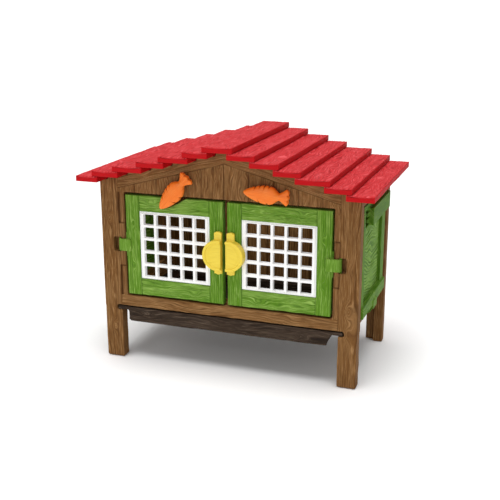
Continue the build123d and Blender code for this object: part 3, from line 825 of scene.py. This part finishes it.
roof_board("ridge_board", "ridge_wood_board", 1)
for number in range(1, 7):
    roof_board(f"right_roof_board_{number}", f"right_roof_wood_board_{number}", 10 + number)
    roof_board(f"left_roof_board_{number}", f"left_roof_wood_board_{number}", 20 + number)
carved("front_roof_rib", "front_roof_bearer", "roof_red", rib_rule, voxel=0.7)
carved("back_roof_rib", "back_roof_bearer", "roof_red", rib_rule, voxel=0.7)

carved("front_frame", "front_wood_frame", "frame_brown", front_frame_rule, voxel=0.45)
carved("back_frame", "back_wood_frame", "frame_brown", back_frame_rule, voxel=0.7)
for hand, seed in (("left", 200), ("right", 230)):
    carved(f"{hand}_side_sill", f"{hand}_runner_and_bar", "frame_brown", rail_rule, voxel=0.45)
    carved(f"{hand}_top_rail", f"{hand}_wall_plate", "frame_brown", rail_rule, voxel=0.5)
    carved(f"{hand}_door_frame", f"{hand}_door_wood", "panel_green", door_rule(seed), voxel=0.32)
    eased(f"{hand}_door_grid", f"{hand}_window_grid", "grid_white", 0.22)
    carved(f"{hand}_door_handle", f"{hand}_door_pull", "handle_yellow", handle_rule, voxel=0.22, rounds=12)
    carved(f"{hand}_ramp_frame", f"{hand}_ramp_wood_frame", "panel_green", ramp_frame_rule, voxel=0.33)
    carved(f"{hand}_ramp_board", f"{hand}_ramp_wood_board", "panel_green", ramp_board_rule, voxel=0.4)
carrot("left_carrot_latch", "left_carrot", "left_carrot_turn", LEFT_CARROT_DIRECTION)
carrot("right_carrot_latch", "right_carrot", "right_carrot_turn", RIGHT_CARROT_DIRECTION)
carved("litter_tray", "litter_tray_wood", "tray_dark_brown", tray_rule, voxel=0.55)


# ---- floor, light and camera, in metres and degrees ----
FLOOR_HALF = 30.0
FLOOR_GREY = 0.93
SUN_STRENGTH = 2.8
SUN_SPREAD = 44
SUN_TILT = 6
SKY_STRENGTH = 0.42
LIT_HEIGHT = 0.07
LENS = 63.5
SENSOR = 36
CAMERA_AT = (0.1720, -0.4896, 0.2148)
CAMERA_DOWN = 16.25
CAMERA_ROUND = 19.28


def floor():
    """A wide pale floor."""
    low, high = -FLOOR_HALF, FLOOR_HALF
    corners = [(low, low, 0), (high, low, 0), (high, high, 0), (low, high, 0)]
    mesh = bpy.data.meshes.new("floor")
    mesh.from_pydata(corners, [], [(0, 1, 2, 3)])
    plane = added("floor", mesh)
    material = bpy.data.materials.new("floor")
    material.use_nodes = True
    shader = material.node_tree.nodes["Principled BSDF"]
    shader.inputs["Base Color"].default_value = (FLOOR_GREY, FLOOR_GREY, FLOOR_GREY, 1)
    shader.inputs["Roughness"].default_value = 0.9
    shader.inputs["Specular IOR Level"].default_value = 0.1
    mesh.materials.append(material)


def soft_light(name, at, size, power):
    """A square lamp that faces the middle of the hutch."""
    light = bpy.data.lights.new(name, "AREA")
    light.size = size
    light.energy = power
    lamp = added(name, light)
    lamp.location = at
    aim = Vector((0, 0, LIT_HEIGHT)) - lamp.location
    lamp.rotation_euler = aim.to_track_quat("-Z", "Y").to_euler()


def daylight():
    """A broad sun from nearly overhead, and an even white sky."""
    light = bpy.data.lights.new("sun", "SUN")
    light.energy = SUN_STRENGTH
    light.angle = math.radians(SUN_SPREAD)
    added("sun", light).rotation_euler = (math.radians(SUN_TILT), 0, 0)
    world = bpy.data.worlds.new("studio")
    bpy.context.scene.world = world
    world.use_nodes = True
    sky = world.node_tree.nodes["Background"]
    sky.inputs["Color"].default_value = (1, 1, 1, 1)
    sky.inputs["Strength"].default_value = SKY_STRENGTH


def set_camera():
    """The camera, which looks down at the hutch from in front and to its right."""
    view = bpy.data.cameras.new("camera")
    view.lens = LENS
    view.sensor_width = SENSOR
    view.clip_start = 0.01
    view.clip_end = 200
    camera = added("camera", view)
    camera.location = CAMERA_AT
    camera.rotation_euler = (math.radians(90 - CAMERA_DOWN), 0, math.radians(CAMERA_ROUND))
    bpy.context.scene.camera = camera


floor()
daylight()
soft_light("front_fill", (-0.3, -1.2, 0.5), 0.8, 3.0)
soft_light("inside", (0, 0, 0.1), 0.05, 0.02)
bpy.context.scene.view_settings.view_transform = "Standard"
set_camera()
